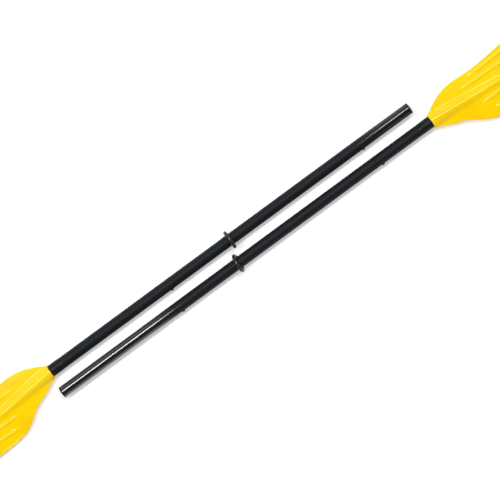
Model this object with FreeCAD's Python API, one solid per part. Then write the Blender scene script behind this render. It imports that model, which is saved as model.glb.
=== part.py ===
import FreeCAD, Part
import math
import os
from FreeCAD import Vector

# A two-piece paddle, taken apart: two halves lie side by side with their blades at opposite ends.
# Each half is a yellow ribbed blade on a shaft of three black tubes. The tubes plug together over
# inner ferrules and are held by spring buttons, and a loose ring slides on the middle tube.
#
# A half is drawn in its own frame: x = 0 where the blade meets the shaft, +x towards the blade's
# tip, +y towards the blade's narrow side, z = 0 on the shaft's axis. Sizes are in millimetres.

# shaft
tube_diameter = 22.2
tube_wall = 1.2
end_past_root = 7.0            # the longer shaft's end lies this far past the other blade's root
axis_spacing = 44.0            # between the two shafts, as they lie
left_shaft_length = 823.0
right_shaft_length = 847.0
left_blade_button_at = 271.0   # places of the buttons, from the blade's root
right_blade_button_at = 117.0
left_grip_button_from_end = 113.0
right_grip_button_from_end = 272.0

# blade
blade_length = 385.0
narrow_reach = 48.0            # furthest edge from the shaft's axis on the narrow side
wide_reach = 73.0              # and on the wide side
root_narrow_shoulder = 1.5     # the blade's edges beside its root, out from the tube
root_wide_shoulder = 2.9
blade_thickness = 3.2
camber_radius = 450.0          # across the blade
rib_radius = 2.8
rib_lift = 0.8                 # centre of a rib above the middle of the blade's thickness
spine_side_shoulder = 2.2      # the spine's root stands out from the tube, at the sides
spine_top_shoulder = 0.8       # and at the top
spine_offset = 14.0            # the spine drifts this far to the wide side
tang_length = 60.0

# collar and rivet at the blade's root
collar_length = 22.0
collar_wall = 0.4
rivet_at = 25.0
rivet_radius = 1.6
rivet_head_radius = 2.8
rivet_head_height = 1.0

# joint between two tubes
mouth_chamfer = 0.6
ferrule_wall = 1.0
ferrule_fixed_length = 40.0
ferrule_plug_length = 45.0
button_from_seam = 11.0
button_radius = 2.9
button_height = 1.8            # how far it stands out of the tube
button_round = 1.1
button_flange_radius = 3.7
button_flange_height = 0.8
spring_thickness = 0.6
spring_width = 4.6
spring_length = 26.0

# loose ring
ring_section = 6.6
ring_play = 1.3                # all round the tube
left_ring_from_end = 412.0     # from the shaft's free end
right_ring_from_end = 405.0
left_ring_tilt = 2.0
right_ring_tilt = 11.0         # degrees, leaning along the shaft
right_ring_turn = 5.0          # and turned in the plan

# ends and floats
plug_rim = 2.4
plug_depth = 18.0
left_plug_round = 0.5
right_plug_round = 1.8
bung_length = 40.0

# clearances
plug_in_fit = 0.05             # ferrule in the tube that slides off it
tang_fit = 0.1
rivet_fit = 0.1
button_fit = 0.1
ring_rest_gap = 0.3
bung_fit = 0.3
ground_gap = 0.2

# derived
blade_to_blade = max(left_shaft_length, right_shaft_length) - end_past_root
tube_radius = tube_diameter / 2
bore_radius = tube_radius - tube_wall
ferrule_bore = bore_radius - plug_in_fit - ferrule_wall
camber_centre = (narrow_reach - wide_reach) / 2
spine_half_width = tube_radius + spine_side_shoulder
spine_half_height = tube_radius + spine_top_shoulder
ring_core_radius = tube_radius + ring_play + ring_section / 2
axis_height = tube_radius + ring_section + ring_rest_gap

# The blade's outline: (share of its length, share of that side's reach).
narrow_edge = [
    (0.057, 0.51), (0.115, 0.70), (0.18, 0.78), (0.27, 0.745), (0.36, 0.76), (0.50, 0.86),
    (0.66, 0.96), (0.80, 1.00), (0.91, 0.91), (0.975, 0.62),
]
blade_tip = (1.0, 0.20)
wide_edge = [
    (0.04, 0.28), (0.085, 0.395), (0.13, 0.48), (0.165, 0.575), (0.21, 0.74), (0.255, 0.87),
    (0.30, 0.935), (0.40, 0.975), (0.50, 1.00), (0.66, 0.95), (0.80, 0.78), (0.90, 0.52),
    (0.965, 0.19),
]
# Spine sections: (share of the blade's length, share of the root's half width, of its half height).
spine_sections = [
    (0.0, 1.0, 1.0), (0.10, 0.87, 0.74), (0.23, 0.68, 0.52), (0.40, 0.48, 0.37), (0.60, 0.27, 0.22),
]
spine_drift_share = 0.40       # where the spine's drift is reached
# Ribs beside the spine: start and end, each (share of the length, y over the blade's whole width).
rib_lines = [
    ((0.27, 0.22), (0.80, 0.25)),
    ((0.21, 0.12), (0.84, 0.06)),
    ((0.25, -0.25), (0.84, -0.21)),
    ((0.28, -0.42), (0.76, -0.36)),
]


def camber_fall(y):
    return (y - camber_centre) ** 2 / (2 * camber_radius)


def drop_to_ground():
    """How far the tip curves down below the shaft's axis for the blade's lowest edge to touch the ground."""
    edge = [(share, reach * narrow_reach) for share, reach in narrow_edge + [blade_tip]]
    edge += [(share, -reach * wide_reach) for share, reach in wide_edge]
    room = axis_height - blade_thickness / 2 - ground_gap
    return min((room - camber_fall(y)) / share ** 2 for share, y in edge)


spoon_drop = drop_to_ground()
spoon_radius = blade_length ** 2 / (2 * spoon_drop)


def along_x(radius, start, length):
    return Part.makeCylinder(radius, length, Vector(start, 0, 0), Vector(1, 0, 0))


def pipe(outer, inner, start, length):
    return along_x(outer, start, length).cut(along_x(inner, start, length))


def middle_height(x, y):
    """Height of the middle of the blade's thickness."""
    return -x ** 2 / (2 * spoon_radius) - camber_fall(y)


def blade_outline():
    narrow = [Vector(s * blade_length, r * narrow_reach, 0) for s, r in narrow_edge]
    wide = [Vector(s * blade_length, -r * wide_reach, 0) for s, r in wide_edge]
    tip = Vector(blade_tip[0] * blade_length, blade_tip[1] * narrow_reach, 0)
    start = Vector(0, tube_radius + root_narrow_shoulder, 0)
    end = Vector(0, -tube_radius - root_wide_shoulder, 0)
    curve = Part.BSplineCurve()
    curve.interpolate([start] + narrow + [tip] + wide[::-1] + [end])
    return Part.Wire([curve.toShape(), Part.makeLine(end, start)])


def curved_slab(half):
    """A torus whose top is the blade's curved surface, half a thickness from its middle."""
    centre = Vector(0, camber_centre, -spoon_radius)
    return Part.makeTorus(spoon_radius - camber_radius, camber_radius + half, centre, Vector(0, 1, 0))


def blade_plate():
    depth = 2 * (tube_diameter + spoon_drop)
    prism = Part.Face(blade_outline()).extrude(Vector(0, 0, 2 * depth))
    prism.translate(Vector(0, 0, -depth))
    top = prism.common(curved_slab(blade_thickness / 2))
    return top.cut(curved_slab(-blade_thickness / 2))


def spine():
    wires = []
    for share, width_share, height_share in spine_sections:
        x = share * blade_length
        y = -spine_offset * min(1, share / spine_drift_share)
        half_width = width_share * spine_half_width
        half_height = height_share * spine_half_height
        ellipse = Part.Ellipse(Vector(0, 0, 0), half_width, half_height).toShape()
        ellipse.rotate(Vector(0, 0, 0), Vector(0, 0, 1), 90)
        ellipse.rotate(Vector(0, 0, 0), Vector(0, 1, 0), 90)
        ellipse.translate(Vector(x, y, middle_height(x, y) - middle_height(0, 0)))
        wires.append(Part.Wire([ellipse]))
    return Part.makeLoft(wires, True)


def ribs():
    made = []
    full_width = narrow_reach + wide_reach
    for line in rib_lines:
        ends = []
        for share, y_share in line:
            x = share * blade_length
            y = y_share * full_width
            ends.append(Vector(x, y, middle_height(x, y) + rib_lift))
        along = ends[1] - ends[0]
        bar = Part.makeCylinder(rib_radius, along.Length, ends[0], along)
        made += [bar, Part.makeSphere(rib_radius, ends[0]), Part.makeSphere(rib_radius, ends[1])]
    return made


def blade():
    tang = along_x(bore_radius - tang_fit, -tang_length, tang_length)
    rods = spine().fuse([tang] + ribs())
    return blade_plate().fuse(rods).cut(rivet_hole())


# The blade end: rivet and collar

def rivet_hole():
    start = Vector(-rivet_at, 0, -tube_diameter)
    return Part.makeCylinder(rivet_radius + rivet_fit, 2 * tube_diameter, start)


def rivet():
    """A stem through the tube and the tang, with a low domed head at each end."""
    low = Vector(-rivet_at, 0, -tube_radius)
    stem = Part.makeCylinder(rivet_radius, tube_diameter, low)
    dome_radius = (rivet_head_radius ** 2 + rivet_head_height ** 2) / (2 * rivet_head_height)
    heads = []
    for side in (1, -1):
        centre = Vector(-rivet_at, 0, side * (tube_radius + rivet_head_height - dome_radius))
        base = Vector(-rivet_at, 0, side * (tube_radius - rivet_head_height / 2))
        column = Part.makeCylinder(rivet_head_radius, 2 * rivet_head_height, base, Vector(0, 0, side))
        heads.append(column.common(Part.makeSphere(dome_radius, centre)))
    return stem.fuse(heads).cut(along_x(tube_radius, -2 * rivet_at, 2 * rivet_at)).fuse(stem)


def collar():
    return pipe(tube_radius + collar_wall, tube_radius, -collar_length, collar_length)


# The shaft: tubes, ferrules, buttons and springs

def button_hole(button_at):
    start = Vector(-button_at, 0, 0)
    return Part.makeCylinder(button_radius + button_fit, tube_diameter, start, Vector(0, -1, 0))


def tube(start, end, mouths):
    """A length of tube from start down to end, chamfered on the outside at its open mouths."""
    body = pipe(tube_radius, bore_radius, -end, end - start)
    rims = []
    for edge in body.Edges:
        outside = edge.isClosed() and edge.Curve.Radius > bore_radius + tube_wall / 2
        if outside and min(abs(edge.CenterOfMass.x + mouth) for mouth in mouths) < tube_wall:
            rims.append(edge)
    return body.makeChamfer(mouth_chamfer, rims)


def ferrule(seam):
    """Glued in the tube on the grip's side of the seam, and a sliding fit in the next tube."""
    glued = along_x(bore_radius, -seam - ferrule_fixed_length, ferrule_fixed_length)
    plug = along_x(bore_radius - plug_in_fit, -seam, ferrule_plug_length)
    bore_length = ferrule_fixed_length + ferrule_plug_length
    body = glued.fuse(plug).cut(along_x(ferrule_bore, -seam - ferrule_fixed_length, bore_length))
    return body.cut(button_hole(seam - button_from_seam)).removeSplitter()


def button(button_at):
    """A round button with a soft edge outside, and a flange that keeps it in the ferrule."""
    top = tube_radius + button_height
    flange_top = (ferrule_bore ** 2 - button_flange_radius ** 2) ** 0.5 - button_fit
    out = Vector(0, -1, 0)
    low = Vector(-button_at, -flange_top + button_flange_height, 0)
    stem = Part.makeCylinder(button_radius, top - flange_top + button_flange_height, low, out)
    face = [e for e in stem.Edges if abs(e.BoundBox.YMin + top) < 0.01 and abs(e.BoundBox.YMax + top) < 0.01]
    stem = stem.makeFillet(button_round, face[:1])
    return stem.fuse(Part.makeCylinder(button_flange_radius, button_flange_height, low, out))


def button_spring(button_at):
    """A folded strip: one leg presses the button out, the other rests on the far wall of the ferrule."""
    flange_top = (ferrule_bore ** 2 - button_flange_radius ** 2) ** 0.5 - button_fit
    near = -flange_top + button_flange_height
    half = spring_width / 2
    far = (ferrule_bore ** 2 - half ** 2) ** 0.5 - button_fit
    tip = -button_at - half
    fold = -button_at + spring_length
    t = spring_thickness
    corners = [
        (tip, near), (-button_at + half, near), (fold, -t), (fold + t, 0), (fold, t), (tip, far),
        (tip, far - t), (fold - 3 * t, 0), (-button_at + half, near + t), (tip, near + t),
    ]
    points = [Vector(x, y, -half) for x, y in corners]
    strip = Part.Face(Part.makePolygon(points + points[:1]))
    return strip.extrude(Vector(0, 0, spring_width))


# Loose and end pieces

def ring(ring_at, tilt, turn):
    """A round-section ring, hanging low on the shaft so that it carries it off the ground."""
    body = Part.makeTorus(ring_core_radius, ring_section / 2, Vector(0, 0, 0), Vector(1, 0, 0))
    body.rotate(Vector(0, 0, 0), Vector(0, 1, 0), tilt)
    body.rotate(Vector(0, 0, 0), Vector(0, 0, 1), turn)
    half_height = ring_core_radius * math.cos(math.radians(tilt)) + ring_section / 2
    body.translate(Vector(-ring_at, 0, half_height - axis_height))
    return body


def end_plug(shaft_length, rounding):
    rim = along_x(tube_radius, -shaft_length - plug_rim, plug_rim)
    outer = [e for e in rim.Edges if e.BoundBox.XMax < -shaft_length - plug_rim / 2]
    rim = rim.makeFillet(rounding, outer)
    return rim.fuse(along_x(bore_radius, -shaft_length, plug_depth))


def bung(middle):
    return along_x(bore_radius - bung_fit, -middle - bung_length / 2, bung_length)


def half(name, shaft_length, blade_button_at, grip_button_from_end, ring_from_end, ring_lean, plug_round):
    """All the pieces of one half, in its own frame. The end plug's rim is part of the shaft's length."""
    tube_end = shaft_length - plug_rim
    grip_button_at = shaft_length - grip_button_from_end
    blade_seam = blade_button_at + button_from_seam
    grip_seam = grip_button_at + button_from_seam
    pieces = {
        "blade": blade(),
        "rivet": rivet(),
        "collar": collar(),
        "blade_tube": tube(0, blade_seam, [blade_seam]).cut(rivet_hole()).cut(button_hole(blade_button_at)),
        "middle_tube": tube(blade_seam, grip_seam, [blade_seam, grip_seam]).cut(button_hole(grip_button_at)),
        "grip_tube": tube(grip_seam, tube_end, [grip_seam, tube_end]),
        "ring": ring(shaft_length - ring_from_end, *ring_lean),
        "end_plug": end_plug(tube_end, plug_round),
        "float_bung": bung((blade_seam + grip_seam) / 2),
    }
    for joint, seam in (("blade", blade_seam), ("grip", grip_seam)):
        pieces[joint + "_ferrule"] = ferrule(seam)
        pieces[joint + "_button"] = button(seam - button_from_seam)
        pieces[joint + "_spring"] = button_spring(seam - button_from_seam)
    return {name + "_" + key: shape for key, shape in pieces.items()}


def place(pieces, root_x, axis_y, mirrored):
    placed = {}
    for name, shape in pieces.items():
        if mirrored:
            shape = shape.mirror(Vector(0, 0, 0), Vector(1, 0, 0))
        shape.translate(Vector(root_x, axis_y, axis_height))
        placed[name] = shape
    return placed


left = half("left", left_shaft_length, left_blade_button_at, left_grip_button_from_end,
            left_ring_from_end, (left_ring_tilt, 0), left_plug_round)
right = half("right", right_shaft_length, right_blade_button_at, right_grip_button_from_end,
             right_ring_from_end, (right_ring_tilt, right_ring_turn), right_plug_round)

# the footprint's centre is the origin, and the half with its blade on -x lies on the +y side
left_axis_y = (axis_spacing + wide_reach - narrow_reach) / 2
nodes = place(left, -blade_to_blade / 2, left_axis_y, True)
nodes.update(place(right, blade_to_blade / 2, left_axis_y - axis_spacing, False))

os.makedirs("parts", exist_ok=True)
for name, shape in nodes.items():
    shape.exportStep("parts/" + name + ".step")
    box = shape.BoundBox
    print(name, len(shape.Solids), "solid", shape.isValid(), round(shape.Volume, 1),
          [round(v, 1) for v in (box.XMin, box.YMin, box.ZMin, box.XMax, box.YMax, box.ZMax)])
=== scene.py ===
import math

import bpy
import numpy as np
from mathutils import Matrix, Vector


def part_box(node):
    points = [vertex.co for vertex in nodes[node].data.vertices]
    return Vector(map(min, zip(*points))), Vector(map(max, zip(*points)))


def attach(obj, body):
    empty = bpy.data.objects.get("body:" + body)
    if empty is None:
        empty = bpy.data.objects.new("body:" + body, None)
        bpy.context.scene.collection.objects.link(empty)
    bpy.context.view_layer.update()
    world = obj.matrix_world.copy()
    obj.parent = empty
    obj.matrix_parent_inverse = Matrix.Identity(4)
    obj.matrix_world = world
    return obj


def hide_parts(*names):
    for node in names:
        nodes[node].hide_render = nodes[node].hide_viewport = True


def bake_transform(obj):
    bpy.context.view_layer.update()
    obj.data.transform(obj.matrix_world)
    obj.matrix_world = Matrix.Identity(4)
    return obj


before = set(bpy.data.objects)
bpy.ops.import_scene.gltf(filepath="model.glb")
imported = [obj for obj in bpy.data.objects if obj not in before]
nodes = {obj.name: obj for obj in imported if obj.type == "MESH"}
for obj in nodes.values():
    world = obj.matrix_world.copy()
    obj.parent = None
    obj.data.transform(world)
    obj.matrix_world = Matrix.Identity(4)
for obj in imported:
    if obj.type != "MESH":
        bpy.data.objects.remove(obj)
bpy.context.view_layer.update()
print("frame loaded:", len(nodes), "nodes")

# The paddle lies in two halves along X. Each has its blade's wide side towards -Y.
collarLow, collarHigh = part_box("right_collar")
rootX = collarHigh.x                       # the right blade starts here, the left one at -rootX
shaftRadius = (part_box("right_blade_tube")[1].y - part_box("right_blade_tube")[0].y) / 2
axisHeight = (collarLow.z + collarHigh.z) / 2
axisY = {side: sum(p.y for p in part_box(side + "_collar")) / 2 for side in ("left", "right")}


# small helpers for work in edit mode

def selectOnly(piece):
    if bpy.context.object and bpy.context.object.mode != "OBJECT":
        bpy.ops.object.mode_set(mode="OBJECT")
    bpy.ops.object.select_all(action="DESELECT")
    piece.select_set(True)
    bpy.context.view_layer.objects.active = piece


def editPoints(piece, wanted):
    # edit mode with only the points that pass the test selected
    selectOnly(piece)
    bpy.ops.object.mode_set(mode="EDIT")
    bpy.ops.mesh.select_mode(type="VERT")
    bpy.ops.mesh.select_all(action="DESELECT")
    bpy.ops.object.mode_set(mode="OBJECT")
    for vert in piece.data.vertices:
        vert.select = wanted(vert.co)
    bpy.ops.object.mode_set(mode="EDIT")


def editAll(piece):
    selectOnly(piece)
    bpy.ops.object.mode_set(mode="EDIT")
    bpy.ops.mesh.select_all(action="SELECT")


def newPiece(name):
    piece = bpy.context.object
    piece.name = name
    piece.data.name = name
    bpy.ops.object.transform_apply(location=True, rotation=True, scale=True)
    return piece


def finishPiece(piece, material, body, slot, *replaced):
    selectOnly(piece)
    piece.data.materials.clear()
    piece.data.materials.append(material)
    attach(piece, body)
    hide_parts(*replaced)


def smoothstep(t):
    t = min(max(t, 0.0), 1.0)
    return t * t * (3 - 2 * t)


# material helpers

def newMaterial(name, **settings):
    material = bpy.data.materials.new(name)
    material.use_nodes = True
    shader = material.node_tree.nodes["Principled BSDF"]
    for key, value in settings.items():
        shader.inputs[key].default_value = value
    return material, material.node_tree, shader


def objectPattern(tree, stretch=(1, 1, 1)):
    place = tree.nodes.new("ShaderNodeTexCoord")
    mapping = tree.nodes.new("ShaderNodeMapping")
    mapping.inputs["Scale"].default_value = stretch
    tree.links.new(place.outputs["Object"], mapping.inputs["Vector"])
    return mapping.outputs["Vector"]


def noise(tree, vector, scale, detail=3.0, roughness=0.5):
    node = tree.nodes.new("ShaderNodeTexNoise")
    node.inputs["Scale"].default_value = scale
    node.inputs["Detail"].default_value = detail
    node.inputs["Roughness"].default_value = roughness
    tree.links.new(vector, node.inputs["Vector"])
    return node.outputs["Fac"]


def ramp(tree, value, stops):
    stops = list(stops)
    node = tree.nodes.new("ShaderNodeValToRGB")
    while len(node.color_ramp.elements) < len(stops):
        node.color_ramp.elements.new(0.5)
    for element, (place, colour) in zip(node.color_ramp.elements, stops):
        element.position = place
        element.color = (*colour, 1)
    tree.links.new(value, node.inputs["Fac"])
    return node.outputs["Color"]


def mapRange(tree, value, low, high, toLow, toHigh):
    node = tree.nodes.new("ShaderNodeMapRange")
    node.interpolation_type = "SMOOTHSTEP"
    for key, number in (("From Min", low), ("From Max", high), ("To Min", toLow), ("To Max", toHigh)):
        node.inputs[key].default_value = number
    tree.links.new(value, node.inputs["Value"])
    return node.outputs["Result"]


def mathNode(tree, operation, a, b):
    node = tree.nodes.new("ShaderNodeMath")
    node.operation = operation
    for socket, value in zip(node.inputs, (a, b)):
        if isinstance(value, (int, float)):
            socket.default_value = value
        else:
            tree.links.new(value, socket)
    return node.outputs["Value"]


def bump(tree, shader, height, distance, strength=1.0):
    node = tree.nodes.new("ShaderNodeBump")
    node.inputs["Distance"].default_value = distance
    node.inputs["Strength"].default_value = strength
    tree.links.new(height, node.inputs["Height"])
    tree.links.new(node.outputs["Normal"], shader.inputs["Normal"])


# materials

noiseRange = (0.3, 0.7)                     # most of a noise's values lie between these


yellowPlastic = {
    "deep": (0.885, 0.560, 0.0006),         # the darkest of the three tones, where the mottling's noise is low
    "plain": (0.90, 0.595, 0.0006),
    "bright": (0.91, 0.615, 0.0006),
    "patchScale": 16.0,                     # broad cloudy patches
    "flowScale": 60.0,                      # streaks left by the flowing plastic
    "flowStretch": (0.25, 1.0, 1.0),
    "patchShare": 0.7,                      # of the patches in the colour, the rest is streaks
    "stops": (0.36, 0.46, 0.62),            # where the three colours stand
    "shine": 0.38,
    "refraction": 1.46,
    "rough": (0.10, 0.16),
    "skinScale": 900.0,
    "rippleScale": 110.0,
    "rippleStretch": (0.4, 1.0, 1.0),
    "rippleShare": 3.0,
    "skinDepth": 0.00006,
    "skinStrength": 0.6,
}


def makeYellowPlastic():
    s = yellowPlastic
    settings = {"Specular IOR Level": s["shine"], "IOR": s["refraction"]}
    material, tree, shader = newMaterial("bladeYellow", **settings)
    patches = noise(tree, objectPattern(tree), s["patchScale"], 2.0)
    streaks = noise(tree, objectPattern(tree, s["flowStretch"]), s["flowScale"])
    patches = mathNode(tree, "MULTIPLY", patches, s["patchShare"])
    streaks = mathNode(tree, "MULTIPLY", streaks, 1 - s["patchShare"])
    cloud = mathNode(tree, "ADD", patches, streaks)
    colour = ramp(tree, cloud, zip(s["stops"], (s["deep"], s["plain"], s["bright"])))
    tree.links.new(colour, shader.inputs["Base Color"])
    skin = noise(tree, objectPattern(tree), s["skinScale"], 2.0)
    tree.links.new(mapRange(tree, skin, *noiseRange, *s["rough"]), shader.inputs["Roughness"])
    ripple = noise(tree, objectPattern(tree, s["rippleStretch"]), s["rippleScale"], 2.0)
    ripple = mathNode(tree, "MULTIPLY", ripple, s["rippleShare"])
    bump(tree, shader, mathNode(tree, "ADD", skin, ripple), s["skinDepth"], s["skinStrength"])
    return material


shaftCoating = {
    "black": (0.0028, 0.0032, 0.0040),
    "scuffed": (0.010, 0.011, 0.013),
    "polished": 0.34,                       # roughness at the free end
    "satin": 0.58,                          # and over the rest
    "polishedShine": 0.08,                  # specular level at the free end
    "satinShine": 0.24,
    "lacquer": {"Specular Tint": (0.86, 0.94, 1.0, 1.0), "Coat Roughness": 0.15, "Coat IOR": 1.85},
    "grainScale": 700.0,                    # lines drawn along the tube
    "grainStretch": (0.03, 1.0, 1.0),
    "grainShare": 0.12,                     # how much the drawn lines change the roughness
    "speckScale": 420.0,
    "specks": (0.55, 0.75),
    "reliefDepth": 0.00002,
    "reliefStrength": 0.2,
    # from polished to satin, as X along each half, and the lacquer's strength at its free end
    "left": {"fade": (0.385, 0.262), "lacquer": 0.6},
    "right": {"fade": (-0.250, -0.135), "lacquer": 1.0},
}


def makeShaftCoating(side):
    s = shaftCoating
    material, tree, shader = newMaterial("shaftBlack." + side, **s["lacquer"])
    grain = noise(tree, objectPattern(tree, s["grainStretch"]), s["grainScale"])
    specks = noise(tree, objectPattern(tree), s["speckScale"], 4.0, 0.7)
    colour = ramp(tree, specks, zip(s["specks"], (s["black"], s["scuffed"])))
    tree.links.new(colour, shader.inputs["Base Color"])
    place = tree.nodes.new("ShaderNodeTexCoord")
    axes = tree.nodes.new("ShaderNodeSeparateXYZ")
    tree.links.new(place.outputs["Object"], axes.inputs["Vector"])
    start, end = s[side]["fade"]
    if start < end:
        fade = mapRange(tree, axes.outputs["X"], start, end, s["polished"], s["satin"])
    else:
        fade = mapRange(tree, axes.outputs["X"], end, start, s["satin"], s["polished"])
    coat = mapRange(tree, fade, s["polished"], s["satin"], s[side]["lacquer"], 0.0)
    tree.links.new(coat, shader.inputs["Coat Weight"])
    shine = mapRange(tree, fade, s["polished"], s["satin"], s["polishedShine"], s["satinShine"])
    tree.links.new(shine, shader.inputs["Specular IOR Level"])
    lines = mathNode(tree, "MULTIPLY", mathNode(tree, "SUBTRACT", grain, 0.5), s["grainShare"])
    tree.links.new(mathNode(tree, "ADD", fade, lines), shader.inputs["Roughness"])
    bump(tree, shader, mathNode(tree, "ADD", grain, specks), s["reliefDepth"], s["reliefStrength"])
    return material


mouldedBlack = {
    "collar": {"colour": (0.003, 0.004, 0.006), "fleck": (0.006, 0.007, 0.010), "rough": (0.40, 0.50),
               "shine": 0.2},
    "plug": {"colour": (0.005, 0.005, 0.006), "fleck": (0.012, 0.012, 0.014), "rough": (0.30, 0.46),
             "shine": 0.3},
    "button": {"colour": (0.008, 0.008, 0.009), "fleck": (0.016, 0.016, 0.018), "rough": (0.34, 0.48),
               "shine": 0.3},
    "ring": {"colour": (0.008, 0.008, 0.009), "fleck": (0.016, 0.016, 0.018), "rough": (0.20, 0.32),
             "shine": 0.5},
}
mouldTexture = {"grain": 1500.0, "patches": 160.0, "flecks": (0.45, 0.70), "depth": 0.00003,
                "strength": 0.5}


def makeMouldedBlack(kind):
    s = mouldedBlack[kind]
    material, tree, shader = newMaterial(kind + "Black", **{"Specular IOR Level": s["shine"]})
    grain = noise(tree, objectPattern(tree), mouldTexture["grain"])
    patches = noise(tree, objectPattern(tree), mouldTexture["patches"])
    colour = ramp(tree, patches, zip(mouldTexture["flecks"], (s["colour"], s["fleck"])))
    tree.links.new(colour, shader.inputs["Base Color"])
    tree.links.new(mapRange(tree, grain, *noiseRange, *s["rough"]), shader.inputs["Roughness"])
    bump(tree, shader, grain, mouldTexture["depth"], mouldTexture["strength"])
    return material


bareMetal = {
    "aluminium": {"colour": (0.62, 0.63, 0.65), "dark": (0.42, 0.43, 0.45), "stretch": (0.04, 1.0, 1.0)},
    "springSteel": {"colour": (0.56, 0.57, 0.58), "dark": (0.36, 0.37, 0.38), "stretch": (0.08, 1.0, 1.0)},
    "rivetSteel": {"colour": (0.050, 0.052, 0.056), "dark": (0.024, 0.025, 0.027),
                   "stretch": (1.0, 1.0, 0.3)},
}
metalTexture = {"lines": 1200.0, "shades": (0.35, 0.60), "rough": (0.20, 0.36), "depth": 0.00002,
                "strength": 0.5}


def makeBareMetal(kind):
    s = bareMetal[kind]
    material, tree, shader = newMaterial(kind, Metallic=1.0)
    lines = noise(tree, objectPattern(tree, s["stretch"]), metalTexture["lines"], 4.0)
    colour = ramp(tree, lines, zip(metalTexture["shades"], (s["dark"], s["colour"])))
    tree.links.new(colour, shader.inputs["Base Color"])
    tree.links.new(mapRange(tree, lines, *noiseRange, *metalTexture["rough"]), shader.inputs["Roughness"])
    bump(tree, shader, lines, metalTexture["depth"], metalTexture["strength"])
    return material


floatFoam = {"light": (0.74, 0.74, 0.70), "dark": (0.52, 0.52, 0.48), "cell": 900.0, "shades": (0.1, 0.5),
             "depth": 0.0002, "strength": 0.7}


def makeFloatFoam():
    s = floatFoam
    material, tree, shader = newMaterial("floatFoam", Roughness=0.9)
    cells = tree.nodes.new("ShaderNodeTexVoronoi")
    cells.inputs["Scale"].default_value = s["cell"]
    tree.links.new(objectPattern(tree), cells.inputs["Vector"])
    # the cells' sunken middles are painted darker: painted shade in the pits that the same pattern presses
    # in
    colour = ramp(tree, cells.outputs["Distance"], zip(s["shades"], (s["dark"], s["light"])))
    tree.links.new(colour, shader.inputs["Base Color"])
    bump(tree, shader, cells.outputs["Distance"], s["depth"], s["strength"])
    return material


materials = {
    "blade": makeYellowPlastic(),
    "rivet": makeBareMetal("rivetSteel"),
    "spring": makeBareMetal("springSteel"),
    "ferrule": makeBareMetal("aluminium"),
    "bung": makeFloatFoam(),
    "collar": makeMouldedBlack("collar"),
    "plug": makeMouldedBlack("plug"),
    "button": makeMouldedBlack("button"),
    "ring": makeMouldedBlack("ring"),
}
shaftMaterials = {side: makeShaftCoating(side) for side in ("left", "right")}
for name, node in nodes.items():
    kind = name.split("_")[-1]
    material = shaftMaterials[name.split("_")[0]] if kind == "tube" else materials[kind]
    for slot in node.material_slots:
        slot.material = material
print("materials made:", len(bpy.data.materials))


# The blades: a round blank drawn out from the root, then pressed to its section at each station.

bladeShape = {
    "pointsRound": 320,
    "stations": 150,
    "outlineSteps": 24,
    "smoothUnder": 50.0,                    # degrees between faces
    "tipCrowding": 1.7,                     # stations stand closer towards the tip
    "halfThickness": 0.0016,
    "groundGap": 0.0002,                    # left under the lowest edge
    "camberRadius": 0.450,                  # across, on the wide side
    "narrowCamberRadius": 0.900,            # on the narrow side, which is flatter near the shaft
    "narrowFlatUntil": (0.45, 0.80),        # shares of the length between which it takes the other radius
    "tangLength": 0.060,
    "tangRadius": 0.0098,
    "narrowEdge": [                         # (share of the length, share of the reach)
        (0.057, 0.51), (0.115, 0.70), (0.18, 0.78), (0.27, 0.745), (0.36, 0.76), (0.50, 0.86),
        (0.66, 0.96), (0.80, 0.995), (0.91, 0.91), (0.975, 0.62)],
    "wideEdge": [
        (0.04, 0.28), (0.085, 0.395), (0.13, 0.48), (0.165, 0.575), (0.21, 0.74), (0.255, 0.87),
        (0.30, 0.935), (0.40, 0.975), (0.50, 0.995), (0.66, 0.95), (0.80, 0.78), (0.90, 0.52),
        (0.965, 0.19)],
    "tipNarrowShare": 0.20,
    "rootNarrow": 0.0015,                   # how far the root's edges stand out from the shaft
    "rootWide": 0.0029,
    # the spine: share of the length, half width, half height
    "spine": [(0.0, 0.0133, 0.0119), (0.10, 0.0116, 0.0088), (0.23, 0.0090, 0.0062),
              (0.40, 0.0064, 0.0044), (0.60, 0.0036, 0.0026), (0.74, 0.0020, 0.0012)],
    "spineDrift": (0.40, 0.014),            # reached at this share of the length, to the wide side
    "spineSpread": 0.30,                    # past the root the spine's foot widens and its top softens
    "spineSoftness": 1.1,
    "spineSoftAt": 0.16,
    "spineEnds": (0.60, 0.74),
    "spineDive": 0.006,
    "spineFillet": 0.0035,
    "filletRoom": 0.008,                    # the fillet shrinks within this of the edge
    "rootUntil": 0.10,                      # share of the length where the spine may be the edge itself
    "rootCover": 0.006,                     # where the edge is this near the spine, it takes its height
    # ribs: start and end as (share of the length, share of the whole width), height over the plate
    "ribs": [((0.27, 0.22), (0.80, 0.25), 0.0019), ((0.21, 0.12), (0.84, 0.06), 0.0019),
             ((0.25, -0.25), (0.84, -0.21), 0.0019), ((0.28, -0.42), (0.76, -0.36), 0.0019)],
    "ribHalfWidth": 0.0040,
    "ribFadeIn": 0.022,
    "rimHeight": 0.0005,                    # a low bead along the edge, on the upper face
    "rimWidth": 0.0035,
    "rimStarts": (0.20, 0.35),
}
bladeLow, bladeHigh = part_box("right_blade")
bladeLength = bladeHigh.x - rootX
narrowReach = bladeHigh.y - axisY["right"]
wideReach = axisY["right"] - bladeLow.y
camberMiddle = (narrowReach - wideReach) / 2


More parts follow.
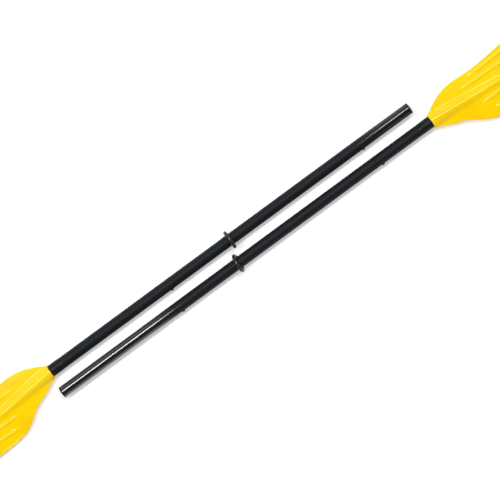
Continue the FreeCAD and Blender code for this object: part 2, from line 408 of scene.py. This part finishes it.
def drawnEdges():
    # the outline drawn as a soft curve from root to tip to root, cut at the tip into its two edges
    s = bladeShape
    start = (0.0, shaftRadius + s["rootNarrow"])
    end = (0.0, -shaftRadius - s["rootWide"])
    narrow = [(share * bladeLength, reach * narrowReach) for share, reach in s["narrowEdge"]]
    wide = [(share * bladeLength, -reach * wideReach) for share, reach in s["wideEdge"]]
    tip = (bladeLength, s["tipNarrowShare"] * narrowReach)
    points = [start] + narrow + [tip] + wide[::-1] + [end]
    curve = bpy.data.curves.new("bladeOutline", "CURVE")
    curve.resolution_u = s["outlineSteps"]
    spline = curve.splines.new("BEZIER")
    spline.bezier_points.add(len(points) - 1)
    for knot, (x, y) in zip(spline.bezier_points, points):
        knot.co = (x, y, 0)
        knot.handle_left_type = knot.handle_right_type = "AUTO"
    outline = bpy.data.objects.new("bladeOutline", curve)
    bpy.context.scene.collection.objects.link(outline)
    bpy.context.view_layer.update()
    mesh = bpy.data.meshes.new_from_object(outline.evaluated_get(bpy.context.evaluated_depsgraph_get()))
    line = np.array([v.co[:2] for v in mesh.vertices])
    bpy.data.objects.remove(outline)
    bpy.data.meshes.remove(mesh)
    top = int(line[:, 0].argmax())
    return line[: top + 1], line[top:][::-1]


def plateMiddle(x, y):
    s = bladeShape
    bend = 1 / s["camberRadius"]
    if y > camberMiddle:
        start, end = s["narrowFlatUntil"]
        mixed = smoothstep((x / bladeLength - start) / (end - start))
        bend = (1 - mixed) / s["narrowCamberRadius"] + mixed * bend
    return -x ** 2 / (2 * spoonRadius) - (y - camberMiddle) ** 2 * bend / 2


def tipSpoonRadius():
    # the tip curves down until the CAD blade's lowest edge just meets the ground
    s = bladeShape
    edge = [(share, reach * narrowReach) for share, reach in s["narrowEdge"] + [(1.0, s["tipNarrowShare"])]]
    edge += [(share, -reach * wideReach) for share, reach in s["wideEdge"]]
    room = axisHeight - s["halfThickness"] - s["groundGap"]
    drop = min((room - (y - camberMiddle) ** 2 / (2 * s["camberRadius"])) / share ** 2 for share, y in edge)
    return bladeLength ** 2 / (2 * drop)


def ribHeight(x, y):
    s = bladeShape
    width = narrowReach + wideReach
    total = 0.0
    for (startShare, startY), (endShare, endY), height in s["ribs"]:
        start = Vector((startShare * bladeLength, startY * width))
        along = Vector((endShare * bladeLength, endY * width)) - start
        travelled = (Vector((x, y)) - start).dot(along) / along.length
        away = abs((Vector((x, y)) - start).cross(along)) / along.length
        if away >= s["ribHalfWidth"]:
            continue
        profile = math.cos(math.pi / 2 * away / s["ribHalfWidth"]) ** 2
        fade = smoothstep(travelled / s["ribFadeIn"])
        fade *= smoothstep((along.length - travelled) / s["ribFadeIn"])
        total = max(total, height * profile * fade)
    return total


def softMax(a, b, blend):
    return max(a, b) + max(blend - abs(a - b), 0.0) ** 2 / (4 * blend) if blend > 1e-6 else max(a, b)


def sectionPoint(x, angle, narrowY, wideY):
    # one point of the section: angle 0 is the narrow edge, half a turn the wide edge, above the plate
    s = bladeShape
    share = x / bladeLength
    table = np.array(s["spine"])
    halfWidth = float(np.interp(share, table[:, 0], table[:, 1]))
    halfHeight = float(np.interp(share, table[:, 0], table[:, 2]))
    soft = smoothstep(share / s["spineSoftAt"])
    footWidth = halfWidth * (1 + s["spineSpread"] * soft)
    driftShare, drift = s["spineDrift"]
    spineY = -drift * min(1.0, share / driftShare)
    highY, lowY = narrowY, wideY
    if share < s["rootUntil"]:
        highY = max(narrowY, spineY + halfWidth)
        lowY = min(wideY, spineY - halfWidth)
    above = angle <= math.pi
    turn = angle if above else 2 * math.pi - angle
    spread = 0.5 * (1 - 2 * turn / math.pi) + 0.5 * math.cos(turn)
    y = (highY + lowY) / 2 + spread * (highY - lowY) / 2
    fromEdge = min(highY - y, y - lowY)
    thick = s["halfThickness"]
    plate = thick if fromEdge >= thick else math.sqrt(max(thick ** 2 - (thick - fromEdge) ** 2, 0.0))
    middle = plateMiddle(x, y)
    spineMiddle = plateMiddle(x, spineY) - plateMiddle(0, 0)
    cover = smoothstep(1 - (min(highY - spineY, spineY - lowY) - halfWidth) / s["rootCover"])
    inside = max(0.0, 1 - ((y - spineY) / footWidth) ** 2)
    # past its foot, and past its end, the spine's own surface dives under the plate
    ending = smoothstep((share - s["spineEnds"][0]) / (s["spineEnds"][1] - s["spineEnds"][0]))
    dive = s["spineDive"] * (ending + max(0.0, abs(y - spineY) - footWidth) / s["spineFillet"])
    arch = halfHeight * (1 - ending) * inside ** (0.5 + s["spineSoftness"] * soft) - dive
    blend = s["spineFillet"] * min(1.0, fromEdge / s["filletRoom"])
    if fromEdge <= 1e-7:
        return y, middle * (1 - cover) + spineMiddle * cover
    fromRim = min(abs(fromEdge - s["rimWidth"] / 2) / s["rimWidth"], 0.5)
    rimStart, rimFull = s["rimStarts"]
    rim = s["rimHeight"] * math.cos(math.pi * fromRim) ** 2
    rim *= smoothstep((share - rimStart) / (rimFull - rimStart))
    if above:
        surface = middle + plate + ribHeight(x, y) + rim
        return y, softMax(surface, spineMiddle + arch, blend)
    return y, -softMax(plate - middle, arch - spineMiddle, blend)


def makeBlade():
    s = bladeShape
    bpy.ops.object.select_all(action="DESELECT")
    bpy.ops.mesh.primitive_circle_add(
        vertices=s["pointsRound"], radius=shaftRadius, fill_type="NOTHING",
        location=(rootX, axisY["right"], axisHeight), rotation=(0, math.pi / 2, 0))
    blank = newPiece("rightBlade")
    editAll(blank)
    steps = [i / s["stations"] for i in range(s["stations"] + 1)]
    spots = [bladeLength * (1 - (1 - step) ** s["tipCrowding"]) for step in steps]
    for near, far in zip(spots, spots[1:]):
        bpy.ops.mesh.extrude_region_move(TRANSFORM_OT_translate={"value": (far - near, 0, 0)})
    bpy.ops.object.mode_set(mode="OBJECT")
    narrowLine, wideLine = drawnEdges()
    for vert in blank.data.vertices:
        x = min(max(vert.co.x - rootX, 0.0), bladeLength)
        angle = math.atan2(vert.co.z - axisHeight, vert.co.y - axisY["right"]) % (2 * math.pi)
        narrowY = float(np.interp(x, narrowLine[:, 0], narrowLine[:, 1]))
        wideY = float(np.interp(x, wideLine[:, 0], wideLine[:, 1]))
        y, z = sectionPoint(x, angle, narrowY, wideY)
        vert.co = (rootX + x, axisY["right"] + y, axisHeight + z)
    tipX = rootX + bladeLength
    editPoints(blank, lambda co: co.x > tipX - 1e-6)
    bpy.ops.mesh.merge(type="CENTER")
    # close the root, then draw the tang out of it
    editPoints(blank, lambda co: co.x < rootX + 1e-6)
    bpy.ops.mesh.extrude_region_move(TRANSFORM_OT_translate={"value": (0, 0, 0)})
    bpy.ops.object.mode_set(mode="OBJECT")
    for vert in blank.data.vertices:
        if vert.select:
            out = Vector((0, vert.co.y - axisY["right"], vert.co.z - axisHeight))
            vert.co = Vector((rootX, axisY["right"], axisHeight)) + out.normalized() * s["tangRadius"]
    bpy.ops.object.mode_set(mode="EDIT")
    bpy.ops.mesh.extrude_region_move(TRANSFORM_OT_translate={"value": (-s["tangLength"], 0, 0)})
    bpy.ops.mesh.edge_face_add()
    bpy.ops.mesh.select_all(action="SELECT")
    bpy.ops.mesh.remove_doubles(threshold=1e-6)
    bpy.ops.mesh.normals_make_consistent(inside=False)
    bpy.ops.object.mode_set(mode="OBJECT")
    bpy.ops.object.shade_smooth_by_angle(angle=math.radians(s["smoothUnder"]))
    return blank


def mirroredBlade(blade):
    selectOnly(blade)
    bpy.ops.object.duplicate()
    copy = bpy.context.object
    copy.name = copy.data.name = "leftBlade"
    editAll(copy)
    bpy.ops.transform.resize(value=(-1, 1, 1), center_override=(0, 0, 0))
    bpy.ops.transform.translate(value=(0, axisY["left"] - axisY["right"], 0))
    bpy.ops.mesh.normals_make_consistent(inside=False)
    bpy.ops.object.mode_set(mode="OBJECT")
    return copy


spoonRadius = tipSpoonRadius()
rightBlade = makeBlade()
leftBlade = mirroredBlade(rightBlade)
for side, blade in (("right", rightBlade), ("left", leftBlade)):
    finishPiece(blade, materials["blade"], side + "_blade_section", "blade_yellow", side + "_blade")
print("blades drawn out:", len(rightBlade.data.polygons), "faces each")


# The loose rings, with the mould's parting line round the outside.

ringShape = {
    "pointsRound": 128,
    "pointsAcross": 36,
    "sectionWidth": 0.0066,
    "coreRadius": 0.0157,
    "partingLine": 0.00012,
    "left": {"lean": -2.0, "turn": 0.0},    # degrees along the shaft, and in plan
    "right": {"lean": 11.0, "turn": 5.0},
}


def makeRing(side):
    s = ringShape
    low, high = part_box(side + "_ring")
    centre = (low + high) / 2
    section = s["sectionWidth"]
    core = s["coreRadius"] - s["partingLine"]
    centre.z = core * math.cos(math.radians(s[side]["lean"])) + section / 2 + s["partingLine"]
    bpy.ops.object.select_all(action="DESELECT")
    bpy.ops.mesh.primitive_torus_add(
        major_segments=s["pointsRound"], minor_segments=s["pointsAcross"], major_radius=core,
        minor_radius=section / 2, location=centre, rotation=(0, math.pi / 2, 0))
    ring = newPiece(side + "Ring")

    def outermost(co):
        out = Vector((0, co.y - centre.y, co.z - centre.z))
        return out.length > core + section / 2 - 1e-5

    editPoints(ring, outermost)                 # this loop is drawn out into the parting line
    drawn = 1 + s["partingLine"] / (core + section / 2)
    bpy.ops.transform.resize(value=(1, drawn, drawn), center_override=centre)
    editAll(ring)
    bpy.ops.transform.rotate(value=math.radians(s[side]["lean"]), orient_axis="Y", center_override=centre)
    bpy.ops.transform.rotate(value=math.radians(s[side]["turn"]), orient_axis="Z", center_override=centre)
    bpy.ops.mesh.normals_make_consistent(inside=False)
    bpy.ops.object.mode_set(mode="OBJECT")
    bpy.ops.object.shade_smooth()
    finishPiece(ring, materials["ring"], side + "_ring", "ring_rubber", side + "_ring")
    return ring


for side in ("left", "right"):
    makeRing(side)
print("rings turned")


# The springs: a strip folded over, with its near leg behind the button and its far leg on the ferrule's
# wall.

springShape = {
    "halfThickness": 0.0003,
    "bendRadius": 0.0011,
    "bendSteps": 10,
    "smoothUnder": 40.0,                    # degrees between faces
}


def springPath(tip, fold, near, far, seat):
    # the strip's centre line in plan: behind the button, round the fold, and back to the far wall
    s = springShape
    toFold = 1 if fold > tip else -1
    radius = s["bendRadius"]
    near, far = near + s["halfThickness"], far - s["halfThickness"]
    middle = (near + far) / 2
    centreX = fold - toFold * (radius + s["halfThickness"])
    seatEnd = tip + toFold * seat
    start = math.atan2(middle - radius - near, abs(centreX - seatEnd)) - math.pi / 2
    end = math.pi / 2 - math.atan2(far - middle - radius, abs(centreX - tip))
    path = [(tip, near), (seatEnd, near)]
    for i in range(s["bendSteps"] + 1):
        turn = start + (end - start) * i / s["bendSteps"]
        path.append((centreX + toFold * radius * math.cos(turn), middle + radius * math.sin(turn)))
    return [Vector(point) for point in path + [(tip, far)]]


def makeSpring(side, joint):
    s = springShape
    node = side + "_" + joint + "_spring"
    low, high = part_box(node)
    centre = (low + high) / 2
    width = high.z - low.z
    tip, fold = (low.x, high.x) if side == "right" else (high.x, low.x)
    path = springPath(tip, fold, low.y, high.y, width)
    bpy.ops.object.select_all(action="DESELECT")
    bpy.ops.mesh.primitive_plane_add(size=width, location=(0, 0, centre.z), rotation=(0, math.pi / 2, 0))
    spring = newPiece(side + joint.capitalize() + "Spring")
    editAll(spring)
    for step in path[1:]:
        bpy.ops.mesh.extrude_region_move(TRANSFORM_OT_translate={"value": (width, 0, 0)})
    bpy.ops.object.mode_set(mode="OBJECT")
    for vert in spring.data.vertices:
        i = round(vert.co.x / width)
        before = (path[i] - path[max(i - 1, 0)]).normalized()
        after = (path[min(i + 1, len(path) - 1)] - path[i]).normalized()
        along = (before + after).normalized()
        mitre = 1 / max(along.dot(after if i == 0 else before), 0.5)
        across = Vector((-along.y, along.x)) * math.copysign(s["halfThickness"] * mitre, vert.co.y)
        vert.co = (path[i].x + across.x, path[i].y + across.y, vert.co.z)
    editAll(spring)
    bpy.ops.mesh.normals_make_consistent(inside=False)
    bpy.ops.object.mode_set(mode="OBJECT")
    bpy.ops.object.shade_smooth_by_angle(angle=math.radians(s["smoothUnder"]))
    spring.data.materials.clear()
    spring.data.materials.append(materials["spring"])
    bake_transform(spring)
    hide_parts(node)


for side in ("left", "right"):
    makeSpring(side, "grip")
    makeSpring(side, "blade")
print("springs folded")


# The studio: a pale floor, a long strip above, and soft boxes at both sides and both ends.

studio = {
    "floorSize": 14.0,
    "floorDrop": 0.0002,                    # below the ground, so that nothing touches it
    "floorCloud": 30.0,
    "floorWhite": 0.66,
    "floorMottle": 0.01,
    "floorGlow": 0.37,
    "roomChanges": (0.10, 0.60),            # heights between which the room's brightness changes
    "horizon": 0.42,                        # its brightness low down and overhead
    "overhead": 0.09,
    "strip": {"size": (3.0, 0.34), "lean": 16.0, "distance": 2.2, "power": 50.0, "colour": (1, 1, 1)},
    "coolBox": {"size": (3.2, 2.2), "lean": 66.0, "distance": 2.6, "power": 15.0,
                "colour": (0.74, 0.87, 1.0)},
    "warmBox": {"size": (2.4, 0.8), "lean": -74.0, "distance": 2.6, "power": 4.0,
                "colour": (1.0, 0.86, 0.76)},
    "endBox": {"size": (1.4, 3.2), "lean": 50.0, "distance": 2.8, "power": 16.0},
}
viewpoint = {
    "centre": (0.0098, -0.0028),
    "height": 3.0,                          # above the shafts' axes
    "width": 0.925,                         # the view's width there
    "turn": -36.3,
    "sensor": 36.0,
}


def areaLight(name, size, lean, distance, power, colour=(1, 1, 1), alongX=0):
    light = bpy.data.lights.new(name, "AREA")
    light.shape = "RECTANGLE"
    light.size, light.size_y = size
    light.energy = power
    light.color = colour
    lamp = bpy.data.objects.new(name, light)
    bpy.context.scene.collection.objects.link(lamp)
    angle = math.radians(lean)
    if alongX:
        lamp.location = (alongX * distance * math.sin(angle), 0, distance * math.cos(angle))
        lamp.rotation_euler = (0, alongX * angle, 0)
    else:
        lamp.location = (0, distance * math.sin(angle), distance * math.cos(angle))
        lamp.rotation_euler = (-angle, 0, 0)


bpy.ops.object.select_all(action="DESELECT")
bpy.ops.mesh.primitive_plane_add(size=studio["floorSize"], location=(0, 0, -studio["floorDrop"]))
floor = newPiece("floor")
floorMaterial, floorTree, floorShader = newMaterial("paleFloor", Roughness=0.9)
paleness = noise(floorTree, objectPattern(floorTree), studio["floorCloud"])
pale = [(shade,) * 3 for shade in (studio["floorWhite"], studio["floorWhite"] + studio["floorMottle"])]
floorTree.links.new(ramp(floorTree, paleness, zip(noiseRange, pale)), floorShader.inputs["Base Color"])
floorShader.inputs["Emission Color"].default_value = (1, 1, 1, 1)
floorShader.inputs["Emission Strength"].default_value = studio["floorGlow"]
floor.data.materials.append(floorMaterial)

for name in ("strip", "coolBox", "warmBox"):
    areaLight(name, **studio[name])
endBox = studio["endBox"]
for way in (-1, 1):
    areaLight("endBox", **endBox, alongX=way)

world = bpy.data.worlds.new("studioAir")
world.use_nodes = True
air = world.node_tree
place = air.nodes.new("ShaderNodeTexCoord")
axes = air.nodes.new("ShaderNodeSeparateXYZ")
air.links.new(place.outputs["Generated"], axes.inputs["Vector"])
roomLight = mapRange(air, axes.outputs["Z"], *studio["roomChanges"], studio["horizon"], studio["overhead"])
air.links.new(roomLight, air.nodes["Background"].inputs["Strength"])
air.nodes["Background"].inputs["Color"].default_value = (1, 1, 1, 1)
bpy.context.scene.world = world
bpy.context.scene.view_settings.view_transform = "Standard"

cameraData = bpy.data.cameras.new("camera")
cameraData.sensor_width = viewpoint["sensor"]
cameraData.lens = viewpoint["sensor"] * viewpoint["height"] / viewpoint["width"]
camera = bpy.data.objects.new("camera", cameraData)
bpy.context.scene.collection.objects.link(camera)
camera.location = (*viewpoint["centre"], axisHeight + viewpoint["height"])
camera.rotation_euler = (0, 0, math.radians(viewpoint["turn"]))
bpy.context.scene.camera = camera
print("studio set")
